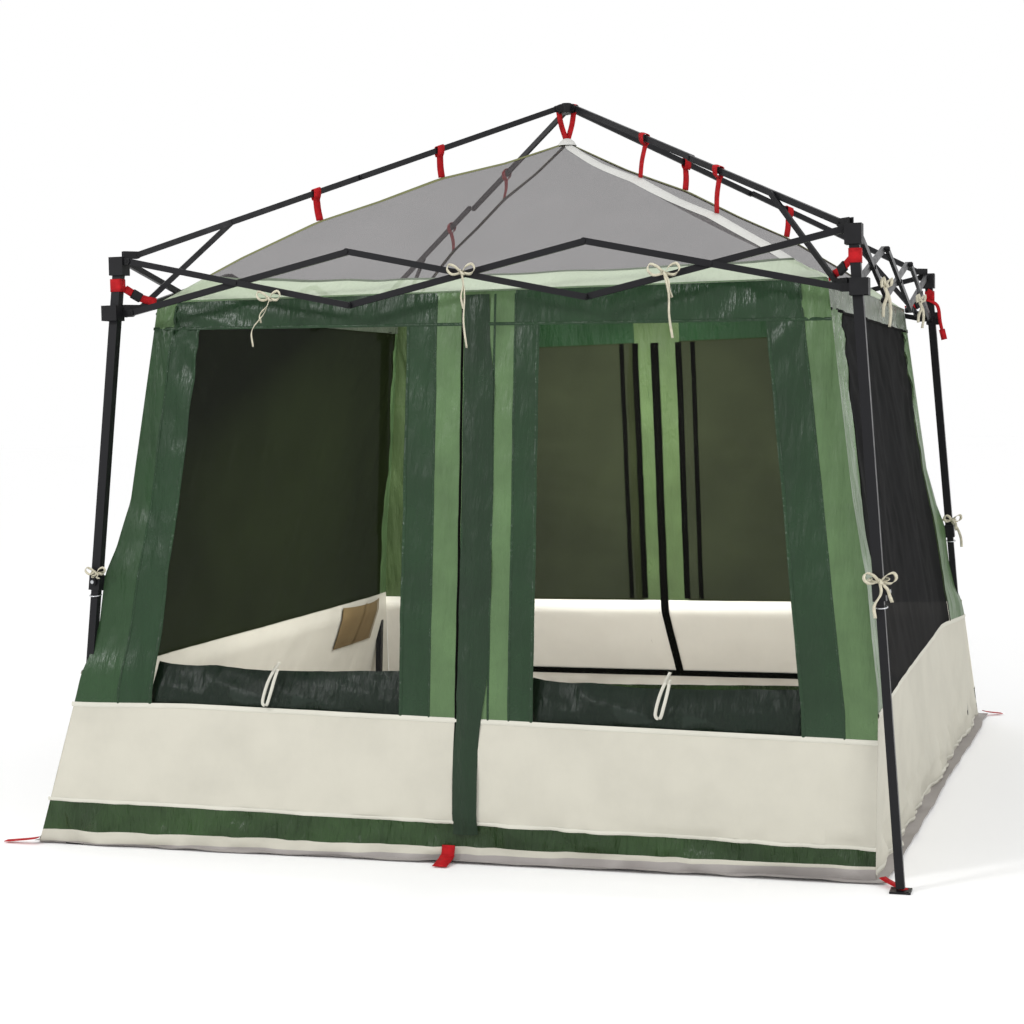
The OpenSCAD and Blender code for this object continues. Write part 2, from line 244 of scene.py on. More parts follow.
class Shader:
    """A Principled material and the few node helpers that the finishes share."""

    def __init__(self, name, **sockets):
        self.material = bpy.data.materials.new(name)
        self.material.use_nodes = True
        self.tree = self.material.node_tree
        self.shader = self.tree.nodes["Principled BSDF"]
        for socket, value in sockets.items():
            self.shader.inputs[socket.replace("_", " ")].default_value = value

    def node(self, kind, links=(), **settings):
        made = self.tree.nodes.new(kind)
        for key, value in settings.items():
            if hasattr(made, key):
                setattr(made, key, value)
            else:
                made.inputs[key.replace("_", " ")].default_value = value
        for source, target in links:
            self.tree.links.new(source, made.inputs[target])
        return made

    def coordinates(self, kind, stretch=(1, 1, 1)):
        source = self.node("ShaderNodeTexCoord").outputs[kind]
        mapping = self.node("ShaderNodeMapping", [(source, "Vector")])
        mapping.inputs["Scale"].default_value = stretch
        return mapping.outputs["Vector"]

    def ramp(self, value, stops):
        made = self.node("ShaderNodeValToRGB", [(value, "Fac")])
        elements = made.color_ramp.elements
        while len(elements) < len(stops):
            elements.new(0.5)
        for element, (place, colour) in zip(elements, stops):
            element.position, element.color = place, colour
        return made.outputs["Color"]

    def noise(self, at, scale, detail, **settings):
        made = self.node("ShaderNodeTexNoise", [(at, "Vector")], Scale=scale, Detail=detail, **settings)
        return made.outputs["Fac"]

    def checker(self, at, scale):
        return self.node("ShaderNodeTexChecker", [(at, "Vector")], Scale=scale).outputs["Fac"]

    def gloss(self, value, dull, shiny):
        """Roughness that goes from the first (place, roughness) to the second as value rises."""
        stops = [(place, (rough,) * 3 + (1,)) for place, rough in (dull, shiny)]
        self.tree.links.new(self.ramp(value, stops), self.shader.inputs["Roughness"])

    def paint(self, colour):
        self.tree.links.new(colour, self.shader.inputs["Base Color"])

    def bump(self, height, distance, strength=1.0, under=None):
        links = [(height, "Height")] + ([(under, "Normal")] if under else [])
        made = self.node("ShaderNodeBump", links, Strength=strength, Distance=distance)
        return made.outputs["Normal"]

    def finish(self, normal):
        self.tree.links.new(normal, self.shader.inputs["Normal"])
        return self.material


def shade(colour, factor):
    return tuple(min(1, c * factor) for c in colour[:3]) + (1,)


def nylon(name, colour, roughness=0.30, crinkle=0.0055, alpha=1.0, spread=0.28):
    """Coated nylon: a fine weave under upright folds and sharp creases, glossier where it's lighter."""
    s = Shader(name, Roughness=roughness, Alpha=alpha, Specular_IOR_Level=0.28)
    at = s.coordinates("UV")
    broad = s.noise(at, 2.6, 5.0, Roughness=0.6)
    stops = [(0.30, shade(colour, 1 - spread)), (0.52, colour), (0.72, shade(colour, 1 + spread))]
    s.paint(s.ramp(broad, stops))
    s.gloss(broad, (0.3, roughness + 0.12), (0.7, roughness - 0.1))
    normal = s.bump(s.checker(at, 420.0), 0.00012, 0.5)
    creases = s.noise(s.coordinates("UV", (8, 3.2, 1)), 2.4, 3.0, noise_type="RIDGED_MULTIFRACTAL")
    normal = s.bump(creases, crinkle * 0.7, 0.6, normal)
    folds = s.noise(s.coordinates("UV", (13, 3.0, 1)), 1.0, 5.0)
    return s.finish(s.bump(folds, crinkle * 5, 0.9, normal))


def netting(name, colour, alpha):
    """Knitted insect mesh, seen as a veil with a faint thread pattern."""
    s = Shader(name, Roughness=0.8, Alpha=alpha, Specular_IOR_Level=0.04)
    at = s.coordinates("UV")
    s.paint(s.ramp(s.noise(at, 3.0, 3.0), [(0.3, shade(colour, 0.82)), (0.7, shade(colour, 1.18))]))
    threads = s.node("ShaderNodeTexWave", [(at, "Vector")], Scale=500.0 / 6.28, Distortion=0.4)
    threads_bump = s.bump(threads.outputs["Fac"], 0.0002, 0.6)
    sag = s.noise(s.coordinates("UV", (3, 1.2, 1)), 2.0, 4.0)
    return s.finish(s.bump(sag, 0.008, 0.35, threads_bump))


def canvas(name, colour, roughness=0.75, soil=0.10, specular=0.12):
    """Cream polyester of the lower panels: taut, softly quilted by its creases, with a plain weave."""
    s = Shader(name, Roughness=roughness, Specular_IOR_Level=specular)
    at = s.coordinates("UV")
    stops = [(0.28, shade(colour, 1 - soil)), (0.55, colour), (0.8, shade(colour, 1 + soil * 0.5))]
    s.paint(s.ramp(s.noise(at, 3.1, 5.0, Roughness=0.6), stops))
    weave = s.bump(s.checker(at, 650.0), 0.0001, 0.4)
    folds = s.noise(s.coordinates("UV", (5, 2.2, 1)), 1.6, 6.0)
    return s.finish(s.bump(folds, 0.010, 0.45, weave))


def webbing(name, colour, ribs=900.0):
    """Woven tape: cross ribs and a slightly worn colour."""
    s = Shader(name, Roughness=0.7, Specular_IOR_Level=0.15)
    at = s.coordinates("Object")
    s.paint(s.ramp(s.noise(at, 60.0, 3.0), [(0.3, shade(colour, 0.78)), (0.7, shade(colour, 1.12))]))
    wave = {"bands_direction": "Z", "Scale": ribs / 6.28, "Distortion": 0.6}
    rib = s.node("ShaderNodeTexWave", [(at, "Vector")], **wave)
    return s.finish(s.bump(rib.outputs["Fac"], 0.0005, 0.8))


def powder_coat(name, colour, roughness):
    """Black powder-coated steel: fine orange peel, faint rubbed streaks along the tube."""
    s = Shader(name, Roughness=roughness, Specular_IOR_Level=0.22)
    at = s.coordinates("Object")
    rub = s.noise(at, 14.0, 6.0, Roughness=0.7)
    s.paint(s.ramp(rub, [(0.35, colour), (0.62, shade(colour, 1.2)), (0.82, shade(colour, 1.8))]))
    s.gloss(rub, (0.3, roughness + 0.1), (0.75, roughness - 0.12))
    return s.finish(s.bump(s.noise(at, 900.0, 2.0), 0.0002, 0.35))


def moulded(name, colour):
    """Moulded plastic with a fine spark texture."""
    s = Shader(name, Roughness=0.5, Specular_IOR_Level=0.22)
    at = s.coordinates("Object")
    s.paint(s.ramp(s.noise(at, 30.0, 4.0), [(0.35, colour), (0.75, shade(colour, 1.5))]))
    return s.finish(s.bump(s.noise(at, 1300.0, 3.0), 0.0003, 0.4))


def bright_metal(name, colour):
    """Zinc-plated steel of the buttons and rings."""
    s = Shader(name, Roughness=0.28, Metallic=1.0)
    at = s.coordinates("Object")
    s.paint(s.ramp(s.noise(at, 160.0, 5.0), [(0.3, shade(colour, 0.75)), (0.7, colour)]))
    brush = s.noise(s.coordinates("Object", (40, 40, 900)), 1.0, 2.0)
    return s.finish(s.bump(brush, 0.0002, 0.3))


MATERIALS = {
    "light": nylon("nylon_light_green", rgb(84, 110, 72)),
    # painted shade: a darker copy of the light green for the strip at the front's left corner, which stands
    # in shadow
    "shaded": nylon("nylon_corner_strip_painted_shade", rgb(40, 66, 39)),
    "dark": nylon("nylon_dark_green", rgb(31, 56, 33), roughness=0.26),
    "deep": nylon("nylon_deep_green", rgb(20, 34, 24), roughness=0.34),
    # the flounce's wide spread of lighter and darker patches, placed at random, is partly its own tone and
    # partly painted highlights and painted shade on its crumples
    "flounce": nylon("nylon_flounce", rgb(42, 64, 33), roughness=0.24, crinkle=0.016, spread=0.5),
    "grey_green": nylon("nylon_grey_green", rgb(100, 110, 94)),
    "eave": nylon("nylon_eave", rgb(188, 202, 175), alpha=0.80, roughness=0.5, spread=0.10),
    "cream": canvas("polyester_cream", rgb(197, 194, 181)),
    # painted light: the back's cream panel is a lighter copy of the cream, so that its inner face reads
    # bright; painted shade: the back's light green strips are a darker copy of the light green
    "cream_back": canvas("polyester_back_panel_painted_light", rgb(246, 244, 232), soil=0.06),
    "light_back": nylon("nylon_back_strip_painted_shade", rgb(74, 92, 58)),
    "flap": nylon("nylon_flap_green", rgb(27, 48, 29), roughness=0.32, crinkle=0.007),
    "piping": canvas("piping_pale", rgb(206, 204, 192)),
    "black": canvas("zip_black", rgb(9, 9, 8), roughness=0.8, specular=0.03),
    "floor": canvas("ground_sheet_grey", rgb(164, 159, 156), soil=0.18),
    "pocket": canvas("pocket_brown", rgb(114, 97, 68), soil=0.2),
    "roof": netting("netting_roof", rgb(92, 88, 89), 0.50),
    "veil": netting("netting_front", rgb(22, 27, 17), 0.14),
    "olive": netting("netting_olive", rgb(37, 42, 26), 0.985),
    "olive_dark": netting("netting_dark_olive", rgb(22, 28, 12), 0.99),
    "soot": netting("netting_black", rgb(15, 15, 16), 0.99),
    "tape": canvas("hip_tape_white", rgb(208, 208, 204), roughness=0.65),
    "seam": canvas("hip_seam_olive", rgb(118, 120, 84)),
    "red": webbing("webbing_red", rgb(178, 26, 32)),
    "cotton": webbing("cotton_tape", rgb(214, 208, 186), ribs=1300.0),
    "steel": powder_coat("powder_coated_steel", rgb(19, 19, 22), 0.38),
    "plastic": moulded("moulded_black", rgb(18, 18, 20)),
    "metal": bright_metal("zinc_plated", rgb(205, 207, 210)),
}


# ---------------------------------------------------------------- mesh building
class Soup:
    """Faces gathered for one sewn piece, with their material and their place on the cloth."""

    def __init__(self):
        self.points, self.faces, self.paints, self.places = [], [], [], []

    def grid(self, points, places, paint):
        """A grid of points (rows, columns, 3), its cloth coordinates and the name of its material."""
        rows, columns = points.shape[:2]
        start = len(self.points)
        self.points += [tuple(p) for p in points.reshape(-1, 3)]
        flat = places.reshape(-1, 2)
        for i in range(rows - 1):
            for j in range(columns - 1):
                first = i * columns + j
                loop = [first, first + 1, first + columns + 1, first + columns]
                self.faces.append([start + n for n in loop])
                self.paints.append(paint)
                self.places.append([tuple(flat[n]) for n in loop])

    def mesh(self, name, cuts=()):
        """The faces as a mesh, without what is past each cut (point, direction). None if nothing is left."""
        made = bmesh.new()
        layer = made.loops.layers.uv.new("cloth")
        slots = sorted(set(self.paints))
        verts = [made.verts.new(p) for p in self.points]
        for face, paint, places in zip(self.faces, self.paints, self.places):
            f = made.faces.new([verts[n] for n in face])
            f.material_index = slots.index(paint)
            f.smooth = True
            for loop, place in zip(f.loops, places):
                loop[layer].uv = place
        for point, direction in cuts:
            everything = made.verts[:] + made.edges[:] + made.faces[:]
            bmesh.ops.bisect_plane(
                made, geom=everything, plane_co=point, plane_no=direction, clear_outer=True, dist=1e-6
            )
        loose = [v for v in made.verts if not v.link_faces]
        bmesh.ops.delete(made, geom=loose, context="VERTS")
        bmesh.ops.remove_doubles(made, verts=made.verts[:], dist=2e-5)
        if not made.faces:
            made.free()
            return None
        data = bpy.data.meshes.new(name)
        made.to_mesh(data)
        made.free()
        for paint in slots:
            data.materials.append(MATERIALS[paint])
        return data


def add(name, data):
    """A new object of that mesh or light."""
    obj = bpy.data.objects.new(name, data)
    bpy.context.scene.collection.objects.link(obj)
    return obj


def sewn(name, soup, cuts=()):
    """A new piece of that name from the soup's faces."""
    return add(name, soup.mesh(name, cuts))


def widest(obj):
    """The longest level section of a hanging piece, which is the width of the cloth that it's cut from."""
    heights = [v.co.z for v in obj.data.vertices]
    runs = []
    for z in np.linspace(min(heights), max(heights), 24)[1:-1]:
        made = bmesh.new()
        made.from_mesh(obj.data)
        whole = made.verts[:] + made.edges[:] + made.faces[:]
        cut = bmesh.ops.bisect_plane(made, geom=whole, plane_co=(0, 0, z), plane_no=(0, 0, 1))["geom_cut"]
        runs.append(sum(e.calc_length() for e in cut if isinstance(e, bmesh.types.BMEdge)))
        made.free()
    return max(runs)


def running(line):
    """The length of a line up to each of its points."""
    return np.concatenate([[0], np.cumsum(np.linalg.norm(np.diff(line, axis=0), axis=1))])


def tube_strip(soup, centre, across, width, thickness, paint):
    """A flat tape of real thickness along the points of centre, its width towards the direction across."""
    centre, across = np.asarray(centre, float), np.asarray(across, float)
    along = np.gradient(centre, axis=0)
    along /= np.linalg.norm(along, axis=1)[:, None]
    across = across - (across * along).sum(1)[:, None] * along
    across /= np.linalg.norm(across, axis=1)[:, None]
    normal = np.cross(along, across)
    ring = [(-0.5, -0.5), (0.5, -0.5), (0.5, 0.5), (-0.5, 0.5), (-0.5, -0.5)]
    points = np.stack([centre + across * width * a + normal * thickness * b for a, b in ring], 1)
    length = running(centre)
    places = np.stack([np.stack([length, np.full_like(length, n * width)], -1) for n in range(5)], 1)
    soup.grid(points, places, paint)
    for end, order in ((0, [1, 0, 2, 3]), (-1, [0, 1, 3, 2])):
        soup.grid(points[end, order].reshape(2, 2, 3), np.zeros((2, 2, 2)), paint)


def spline(points, count):
    """count points on a smooth curve through a few."""
    points = np.asarray(points, float)
    padded = np.vstack([2 * points[0] - points[1], points, 2 * points[-1] - points[-2]])
    out = []
    for u in np.linspace(0, len(points) - 1, count):
        i = min(int(u), len(points) - 2)
        f = u - i
        a, b, c, d = padded[i : i + 4]
        square, cube = 2 * a - 5 * b + 4 * c - d, 3 * b - a - 3 * c + d
        out.append(0.5 * (2 * b + (c - a) * f + square * f * f + cube * f**3))
    return np.array(out)


# ---------------------------------------------------------------- sewing the walls
CORNER = None  # a column that is the wall's own corner


def column(spec, k, z, end):
    """Where a column line of side k is at height z: a share of the wall's half width plus an offset."""
    (sa, _), (sb, _) = side_corners(k, z)
    if spec is CORNER:
        return sa if end == 0 else sb
    share, offset = spec
    return share * wall_half(z) + offset


def cells(a, b):
    return max(1, int(math.ceil(abs(b - a) / STEP)))


def row_z(rows, n, s):
    left, right = rows[n]
    return left + (right - left) * (s + EAVE_HALF) / (2 * EAVE_HALF)


def sew_wall(k, columns, rows, patches, soup, holes):
    """Side k's cloth: strips between column lines, bands between row lines, each cell a material.
    A material that starts with a dot is mesh, and goes to holes instead of soup."""
    middles = [sum(r) / 2 for r in rows]
    row_steps = [cells(a, b) for a, b in zip(middles, middles[1:])]
    ends = [0 if n == 0 else 1 for n in range(len(columns))]
    lines = [[float(column(spec, k, z, end)) for z in (0.0, EAVE_Z)] for spec, end in zip(columns, ends)]
    widths = [max(abs(b - a) for a, b in zip(low, high)) for low, high in zip(lines, lines[1:])]
    for band, steps in enumerate(row_steps):
        for strip, width in enumerate(widths):
            paint = patches[band][strip]
            across = np.linspace(0, 1, cells(0, width) + 1)[None, :]
            up = np.linspace(0, 1, steps + 1)[:, None]
            s = 0 * (up + across)
            for _ in range(3):
                z = row_z(rows, band, s) * (1 - up) + row_z(rows, band + 1, s) * up
                low = column(columns[strip], k, z, ends[strip])
                high = column(columns[strip + 1], k, z, ends[strip + 1])
                s = low + (high - low) * across
            target, lift = (soup, 0.0) if paint[0] != "." else (holes, -0.002)
            target.grid(wall_point(k, s, z, lift), np.stack([s + 7 * k, z], -1), paint.lstrip("."))


def beside(k, s, z, width, profile):
    """The points of side k's cloth across the line (s, z), at each (share of width, lift) of a profile."""
    run = np.stack([np.gradient(s), np.gradient(z)], -1)
    run /= np.linalg.norm(run, axis=1)[:, None]
    steps = [(width * share, lift) for share, lift in profile]
    return np.stack([wall_point(k, s - run[:, 1] * a, z + run[:, 0] * a, lift) for a, lift in steps], 1)


def seam(soup, k, s, z, width, lift, paint):
    """A sewn welt on side k's cloth along the line (s, z)."""
    s, z = np.broadcast_arrays(np.asarray(s, float), np.asarray(z, float))
    sides = [(-0.5, 0.0006), (-0.22, lift), (0.22, lift), (0.5, 0.0006)]
    length = running(np.stack([s, z], -1))
    places = [np.stack([length, np.full_like(length, a * width)], -1) for a, _ in sides]
    soup.grid(beside(k, s, z, width, sides), np.stack(places, 1), paint)


def upright_seam(soup, k, spec, bottom, top, width, lift, paint, end=1):
    z = np.linspace(bottom, top, cells(bottom, top) + 1)
    seam(soup, k, column(spec, k, z, end), z, width, lift, paint)


def level_seam(soup, k, rows, n, width, lift, paint):
    """A welt along row line n, from corner to corner."""
    (sa, _), (sb, _) = side_corners(k, np.full(1, sum(rows[n]) / 2))
    a, b = float(sa[0]), float(sb[0])
    s = np.linspace(a, b, cells(a, b) + 1)
    seam(soup, k, s, row_z(rows, n, s), width, lift, paint)


DOOR = {
    "columns": [
        CORNER, (-0.935, 0), (-0.853, 0), (0, -0.216), (0, -0.121), (0, -0.022),
        (0, 0.073), (0, 0.140), (0, 0.213), (0.830, 0), (0.925, 0), CORNER,
    ],
    "rows": [
        (0.0, 0.0), (0.010, 0.036), (0.046, 0.046), (0.142, 0.100), (0.458, 0.418),
        (1.690, 1.655), (EAVE_Z, EAVE_Z),
    ],
}
BACK_DOOR = {
    "columns": [
        CORNER, (-0.935, 0), (-0.853, 0), (0, -0.226), (0, -0.165), (0, -0.062),
        (0, -0.050), (0, 0.034), (0, 0.094), (0.830, 0), (0.925, 0), CORNER,
    ],
    "rows": DOOR["rows"][:4] + [(0.555, 0.545)] + DOOR["rows"][5:],
}
PLAIN = {
    "columns": [CORNER, (-0.79, 0), (0.86, 0), CORNER],
    "rows": [(0.0, 0.0), (0.018, 0.018), (0.495, 0.495), (1.685, 1.685), (EAVE_Z, EAVE_Z)],
}


def door_patches(mesh, pattern, panel="cream", light="light"):
    """The front's and back's pattern: two windows either side of a zipped door seam."""
    names = {"L": light, "D": "dark", "S": "shaded", "W": "." + mesh}
    body = [names[c] for c in pattern]
    top = [names[c] for c in "LDDDLLLDDDL"]
    return [["floor"] * 11, ["cream"] * 11, ["flounce"] * 11, [panel] * 11, body, top]


LEFT_PLAIN = {
    "columns": [CORNER, (-0.955, 0), (0.86, 0), CORNER],
    "rows": PLAIN["rows"][:2] + [(0.565, 0.565), (1.740, 1.740), PLAIN["rows"][4]],
}


def plain_patches(mesh):
    """The right's and left's pattern: one wide mesh over a tall lower panel."""
    return [["cream"] * 3, ["cream"] * 3, ["light", "." + mesh, "light"], ["grey_green"] * 3]


def side_cuts(k):
    """The two upright planes that part side k's middle from its corners, as cuts that keep the middle."""
    cuts = []
    for sign in (-1, 1):
        x, y = turned(k, sign, 0)
        cuts.append(((x * EAVE_HALF, y * EAVE_HALF, 0), (x, y, 0)))
    return cuts


def flipped(cut):
    point, direction = cut
    return point, tuple(-c for c in direction)


WALL_TALL, SCREEN_TALL = 1.86, 1.28  # lengths of cloth cut for a wall and for its mesh
FOLD_BODY = ("bracket_fl", "bracket_fr", "bracket_bl", "bracket_fl")


def gather(obj, k):
    """A piece of side k's middle rides on the bracket at its low end."""
    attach(obj, FOLD_BODY[k])
    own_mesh(obj)
    return obj


def sew_cover():
    """Every wall, parted into four middles that each ride a bracket and four corners that ride their
    brackets.
    """
    sides, screens = [Soup() for _ in SIDES], [Soup() for _ in SIDES]
    patterns = (
        # S is the strip at the front's left corner: the light green with painted shade
        (DOOR, door_patches("veil", "SDWDLLLDWDL")),
        (PLAIN, plain_patches("soot")),
        # the back's lower panel takes the cream with painted light, and its light strips take the light
        # green with painted shade
        (BACK_DOOR, door_patches("olive", "LDWWLLLWWDL", "cream_back", "light_back")),
        (LEFT_PLAIN, plain_patches("olive_dark")),
    )
    for k, (layout, patches) in enumerate(patterns):
        soup, columns, rows = sides[k], layout["columns"], layout["rows"]
        doored = len(columns) > 4
        sew_wall(k, columns, rows, patches, soup, screens[k])
        panel = len(rows) - 3  # the row line on top of the cream panel
        level_seam(soup, k, rows, panel, 0.016, 0.0035, "piping")
        level_seam(soup, k, rows, panel - 1, 0.012, 0.0030, "piping")
        level_seam(soup, k, rows, panel + 1, 0.010, 0.0025, "dark" if doored else "black")
        for n, spec in enumerate(columns[1:-1], 1):
            meets = [(row, float(column(spec, k, sum(rows[row]) / 2, 1))) for row in (panel, panel + 1)]
            bottom, top = [float(row_z(rows, row, s)) + 0.004 for row, s in meets]
            edge = patches[panel][n - 1][0] == "." or patches[panel][n][0] == "."
            paint = "dark" if doored else "black"
            reach = top if edge else EAVE_Z - 0.01
            upright_seam(soup, k, spec, bottom, reach, 0.011 if edge else 0.007, 0.0022, paint)
    for k in range(4):
        obj = sewn("wall_" + SIDES[k], sides[k], side_cuts(k))
        gather(obj, k)
        if k == 0:
            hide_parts("wall_cover")
        screen = sewn("screen_" + SIDES[k], screens[k], side_cuts(k))
        gather(screen, k)
    for k in range(4):
        before = (k + 3) % 4
        for soups, name, held, tall in (
            (sides, "wall_corner_", "hung", WALL_TALL),
            (screens, "screen_corner_", "stretched", SCREEN_TALL),
        ):
            parts = []
            for side, end in ((k, 0), (before, 1)):
                data = soups[side].mesh("part", [flipped(side_cuts(side)[end])])
                if data:
                    parts.append(add("part", data))
            if not parts:
                continue
            obj = join(name + CORNERS[k], parts)
            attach(obj, "bracket_" + CORNERS[k])
            widest(obj)


def join(name, parts):
    """One object of several, their shared edges welded."""
    bpy.context.view_layer.update()
    with bpy.context.temp_override(active_object=parts[0], selected_editable_objects=parts):
        bpy.ops.object.join()
    obj = parts[0]
    obj.name = obj.data.name = name
    made = bmesh.new()
    made.from_mesh(obj.data)
    bmesh.ops.remove_doubles(made, verts=made.verts[:], dist=1e-4)
    made.to_mesh(obj.data)
    made.free()
    return obj


# ---------------------------------------------------------------- the roof
BAND_T = 0.108  # the translucent band round the eave
KNUCKLE_R = 0.87  # the poles' elbows, where the roof parts to fold with them


def gore(soup, k, half, low, high, paint, tape):
    """Half of gore k from the eave's low to high, with the hip's tape on its outer edge."""
    steps = max(2, int((high - low) * EAVE_HALF / STEP))
    up = np.linspace(low, high, steps + 1)[:, None]
    across = np.linspace(0, 1, int(EAVE_HALF / STEP) + 1)[None, :]
    v = half * across + 0 * up
    t = up + 0 * across
    places = np.stack([v * EAVE_HALF * (1 - t) + 5 * k, t + 3], -1)
    soup.grid(roof_point(k, t, v)[:, ::half], places[:, ::half], paint)
    if tape:
        name, width, lift = tape
        edge = 1 - np.array([[width, width * 0.5, 0.0]]) / np.maximum(EAVE_HALF * (1 - up), width)
        edge = half * np.clip(edge, 0, 1)
        strip = roof_point(k, up + 0 * edge, edge, lift)
        places = np.stack([up * 1.5 + 0 * edge, edge * 0.05], -1)
        soup.grid(strip[:, ::half], places[:, ::half], name)


def roof_welt(soup, k, half, t, paint):
    """A sewn welt level across half of gore k."""
    line = np.linspace(0, half, 40)
    profile = ((-0.006, 0.001), (0, 0.003), (0.006, 0.001))
    rows = [roof_point(k, t + step / EAVE_HALF, line, lift) for step, lift in profile]
    places = [np.stack([line, line * 0 + n * 0.01], -1) for n in range(3)]
    soup.grid(np.stack(rows, 0), np.stack(places, 0), paint)


def roof():
    """Each corner's quarter of the roof, in a part that folds with the lower pole and one with the upper."""
    knuckle_t = hip_t(KNUCKLE_R)
    for k, name in enumerate(CORNERS):
        tape = ("tape", 0.040, 0.0022) if k == 1 else ("seam", 0.012, 0.0020)
        for part, low, high in (("lower", 0.0, knuckle_t), ("upper", knuckle_t, 0.992)):
            soup = Soup()
            for side, half in ((k, -1), ((k + 3) % 4, 1)):
                if part == "lower":
                    gore(soup, side, half, 0.0, BAND_T, "eave", None)
                    gore(soup, side, half, BAND_T, high, "roof", tape)
                    roof_welt(soup, side, half, BAND_T, "grey_green")
                    roof_welt(soup, side, half, 0.004, "light")
                else:
                    gore(soup, side, half, low, high, "roof", tape)
            piece = "roof_" + name + "_" + part
            obj = sewn(piece, soup)
            body = "pole_lower_" if part == "lower" else "pole_upper_"
            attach(obj, body + name)
            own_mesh(obj)
            if k == 0 and part == "lower":
                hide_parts("roof_cover")
    cap = Soup()
    ring = np.linspace(0, 2 * math.pi, 25)
    radius = np.array([0.001, 0.014, 0.026, 0.036])[:, None]
    drop = np.array([0.016, 0.013, 0.004, -0.012])[:, None]
    x, y = radius * np.cos(ring), radius * np.sin(ring)
    cap.grid(np.stack([x, y, APEX_Z + drop + 0 * x], -1)[::-1], np.stack([x + 9, y], -1)[::-1], "tape")
    obj = sewn("apex_cap", cap)
    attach(obj, "roof_hub")


# ---------------------------------------------------------------- cloth details
def curtains():
    """The two rolled-down curtains, slack in the foot of each front window, and the loops that tie them."""
    rows, columns = DOOR["rows"], DOOR["columns"]
    for side, first, toggle_at in (("left", 2, -0.66), ("right", 8, 0.63)):
        soup = Soup()
        up = np.linspace(0, 1, 14)[:, None]
        z = 0.45 + 0.15 * up
        low, high = column(columns[first], 0, z, 1) - 0.01, column(columns[first + 1], 0, z, 1) + 0.01
        across = np.linspace(0, 1, int(0.9 / STEP) + 1)[None, :]
        s = low + (high - low) * across
        sag = 0.018 * np.sin(np.pi * across) + 0.008 * noise(across * 7, 0 * up, 51)
        bulge = 0.035 * np.sin(np.pi * up) ** 0.8 * (0.75 + 0.4 * noise(across * 9, up * 2, 52))
        lift = -0.018 + bulge * np.sin(np.pi * across) ** 0.3 - 0.03 * up
        lift = lift + 0.006 * noise(across * 26 + up * 5, up * 5, 53)
        zz = row_z(rows, -3, s) - 0.012 + (z - 0.45) - sag * up
        soup.grid(wall_point(0, s, zz, np.minimum(lift, 0.014)), np.stack([s, zz * 1.6], -1), "deep")
        name = "curtain_" + side
        obj = gather(sewn(name, soup), 0)
        toggle(side, toggle_at)


def toggle(side, s):
    """A grey tape loop that hangs over the curtain."""
    z = np.array([0.60, 0.575, 0.54, 0.50, 0.475, 0.47, 0.50, 0.545, 0.58])
    shift = np.array([0.012, 0.004, -0.008, -0.018, -0.020, -0.006, 0.004, 0.014, 0.016])
    lift = np.array([-0.03, -0.004, 0.012, 0.018, 0.020, 0.022, 0.021, 0.014, -0.01])
    route = spline(np.stack([s + shift, z, lift], -1), 40)
    points = wall_point(0, route[:, 0], route[:, 1], route[:, 2])
    tapes = [(0.010, points, [1.0, 0.3, 0.2], 0.0012)]
    obj = gather(taped("toggle_" + side, tapes, "piping"), 0)


def flaps():
    """The storm flap over each door's zip, from the eave to the flounce."""
    for k, name in ((0, "flap_front"), (2, "flap_back")):
        soup = Soup()
        up = np.linspace(0, 1, int(1.7 / STEP))[:, None]
        across = np.linspace(0, 1, 7)[None, :]
        z = 0.085 + (EAVE_Z - 0.095) * up
        left = -0.026 - 0.012 * smooth((0.62 - z) / 0.3) + 0.006 * noise(z * 3, 0 * z, 61)
        right = 0.073 - 0.030 * smooth((0.62 - z) / 0.3) + 0.008 * noise(z * 4, 0 * z, 62)
        right = right - 0.02 * smooth((z - 1.45) / 0.2)
        s = left + (right - left) * across
        lift = 0.004 + 0.010 * np.sin(np.pi * across) + 0.005 * noise(z * 9, across * 2, 63)
        soup.grid(wall_point(k, s, z + 0 * s, lift), np.stack([s, z + 0 * s], -1), "flap")
        zip_s = np.full(60, -0.032)
        seam(soup, k, zip_s, np.linspace(0.10, EAVE_Z - 0.02, 60), 0.008, 0.003, "black")
        obj = gather(sewn(name, soup), k)


def zips():
    """Black zips inside the back door: two up each side, one up its middle and one along its foot."""
    soup = Soup()
    for s, width, low in (
        (-0.222, 0.020, 0.56),
        (-0.160, 0.026, 0.56),
        (-0.056, 0.034, 0.19),
        (0.030, 0.026, 0.56),
        (0.090, 0.020, 0.56),
    ):
        inner_tape(soup, 2, np.full(60, s), np.linspace(low, 1.67, 60), width, "black")
    inner_tape(soup, 2, np.linspace(-1.07, 1.07, 90), np.full(90, 0.185), 0.030, "black")
    obj = gather(sewn("zips_back", soup), 2)


def inner_tape(soup, k, s, z, width, paint):
    """A flat tape on the inner face of side k's cloth."""
    points = beside(k, s, z, width, ((-0.5, -0.005), (0, -0.007), (0.5, -0.005)))
    places = [np.stack([s + a * width, z], -1) for a in (0, 1, 2)]
    soup.grid(points, np.stack(places, 1), paint)


POCKET_S, POCKET_Z = -1.170, 0.365  # the pocket's low end along the left wall, and its foot
POCKET_WIDE, POCKET_TALL = 0.42, 0.185


